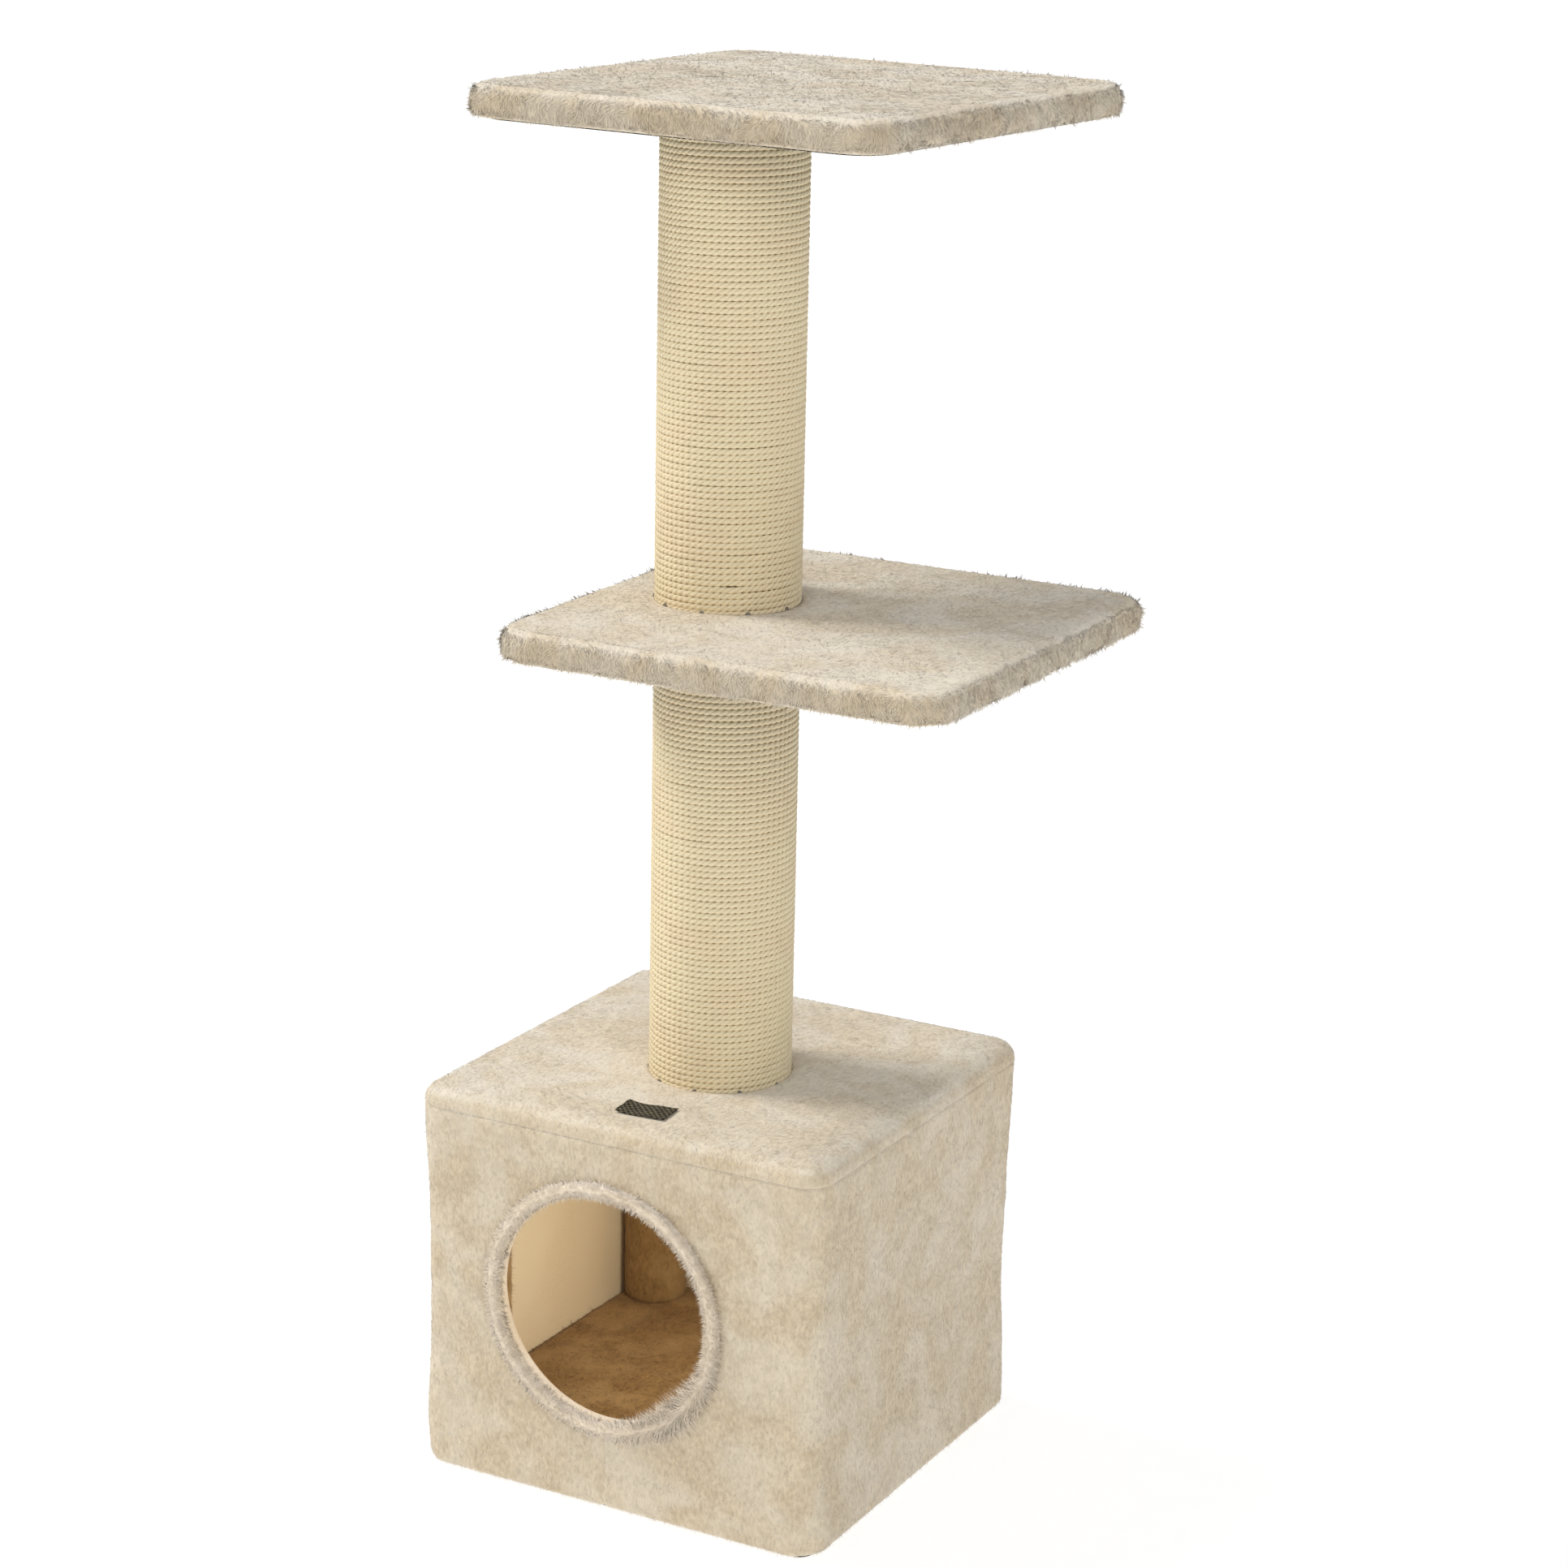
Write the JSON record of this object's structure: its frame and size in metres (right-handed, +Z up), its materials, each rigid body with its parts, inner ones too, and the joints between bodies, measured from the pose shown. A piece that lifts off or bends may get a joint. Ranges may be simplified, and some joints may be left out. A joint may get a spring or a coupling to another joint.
{
  "type": "cat tree",
  "caption": "Tall cat tree: plush-covered house with a round doorway, sisal-wound posts in line above it and square plush platforms that reach out to different sides.",
  "frame": {"origin": "middle of the base's underside, on the floor", "axes": "+Z up; the doorway faces -Y; +X to the right of someone who looks at the doorway"},
  "size_m": [0.4045, 0.4107, 0.942],
  "materials": {
    "plush": "short cut-pile plush, light beige",
    "plush_trim": "longer plush roll, light beige",
    "sisal": "twisted sisal rope, natural",
    "hardboard": "bent hardboard, smooth tan inside",
    "board": "particle board",
    "solid_wood": "turned softwood",
    "tube_card": "spiral wound cardboard",
    "backing": "black nonwoven backing",
    "label_weave": "woven damask label, plain",
    "steel": "zinc plated steel"
  },
  "bodies": {
    "root": {"base_board": "board", "base_screws": "steel", "base_sheet": "backing", "base_staples": "steel", "doorway_trim": "plush_trim", "floor_mat": "plush", "house_bolt": "steel", "house_side_cover": "plush", "house_top_board": "board", "house_top_cover": "plush", "house_top_screws": "steel", "house_washer": "steel", "lower_post_foot_insert": "steel", "lower_post_foot_plug": "solid_wood", "lower_post_head_insert": "steel", "lower_post_head_plug": "solid_wood", "lower_post_tube": "tube_card", "lower_rope_tacks": "steel", "lower_sisal_rope": "sisal", "middle_platform_board": "board", "middle_platform_cover": "plush", "middle_platform_sheet": "backing", "middle_platform_staples": "steel", "middle_stud": "steel", "pillar_back_left": "solid_wood", "pillar_back_right": "solid_wood", "pillar_front_left": "solid_wood", "pillar_front_right": "solid_wood", "pillar_sleeve_back_left": "plush", "pillar_sleeve_back_right": "plush", "pillar_sleeve_front_left": "plush", "pillar_sleeve_front_right": "plush", "top_bolt": "steel", "top_platform_board": "board", "top_platform_cover": "plush", "top_platform_sheet": "backing", "top_platform_staples": "steel", "upper_post_foot_insert": "steel", "upper_post_foot_plug": "solid_wood", "upper_post_head_insert": "steel", "upper_post_head_plug": "solid_wood", "upper_post_tube": "tube_card", "upper_rope_tacks": "steel", "upper_sisal_rope": "sisal", "wall_panel": "hardboard", "woven_label": "label_weave"}
  },
  "joints": []
}
